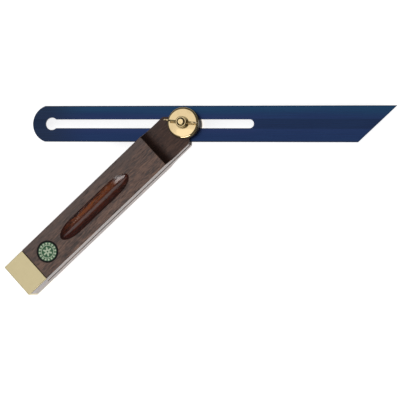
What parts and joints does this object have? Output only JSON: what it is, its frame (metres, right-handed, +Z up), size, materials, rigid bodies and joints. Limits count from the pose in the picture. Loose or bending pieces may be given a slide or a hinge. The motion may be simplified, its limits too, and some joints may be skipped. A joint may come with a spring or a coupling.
{
  "type": "sliding bevel",
  "caption": "Sliding bevel with a slotted hardwood stock, a brass heel cap, a blued slotted blade with a pointed end, and a pivot bolt clamped by brass discs and a wing nut.",
  "frame": {"origin": "centre of the pivot bolt's flat back face, on the plane that the tool lies on", "axes": "+X along the blade to its pointed end, +Z up through the pivot bolt towards the wing nut, +Y across the blade; the stock runs from the pivot at 223.84 degrees about +Z"},
  "size_m": [0.2051, 0.1007, 0.0237],
  "materials": {
    "rosewood": "oiled rosewood with fine dark grain, satin, glossy in the finger groove",
    "polished_brass": "finely brushed, eased edges",
    "turned_brass": "polished, turned",
    "bolt_brass": "turned, slightly dull",
    "blued_steel": "ground and blued, satin",
    "green_enamel": "plain green badge with a dark rim"
  },
  "bodies": {
    "stock_body": {"stock": "rosewood", "heel_cap": "polished_brass", "cap_pin_left": "polished_brass", "cap_pin_right": "polished_brass", "badge": "green_enamel", "rear_disc": "turned_brass"},
    "bolt_body": {"pivot_bolt": "bolt_brass"},
    "blade_body": {"blade": "blued_steel"},
    "disc_body": {"front_disc": "turned_brass"},
    "nut_body": {"wing_nut": "turned_brass"}
  },
  "joints": [
    {"name": "blade_swing", "type": "hinge", "parent": "stock_body", "child": "bolt_body", "pos_m": [0, 0, 0], "axis": [0, 0, 1], "range_deg": [-124, 211.6]},
    {"name": "blade_slide", "type": "slide", "parent": "bolt_body", "child": "blade_body", "axis": [1, 0, 0], "range_m": [-0.027, 0.0722]},
    {"name": "clamp_travel", "type": "slide", "parent": "bolt_body", "child": "disc_body", "axis": [0, 0, 1], "range_m": [0, 0.0006]},
    {"name": "wing_nut_turn", "type": "hinge", "parent": "disc_body", "child": "nut_body", "pos_m": [0, 0, 0.0155], "axis": [0, 0, 1], "range_deg": [0, 360]}
  ],
  "couplings": [
    {"joint": "wing_nut_turn", "follows": "clamp_travel", "rad_per_m": 10472}
  ]
}
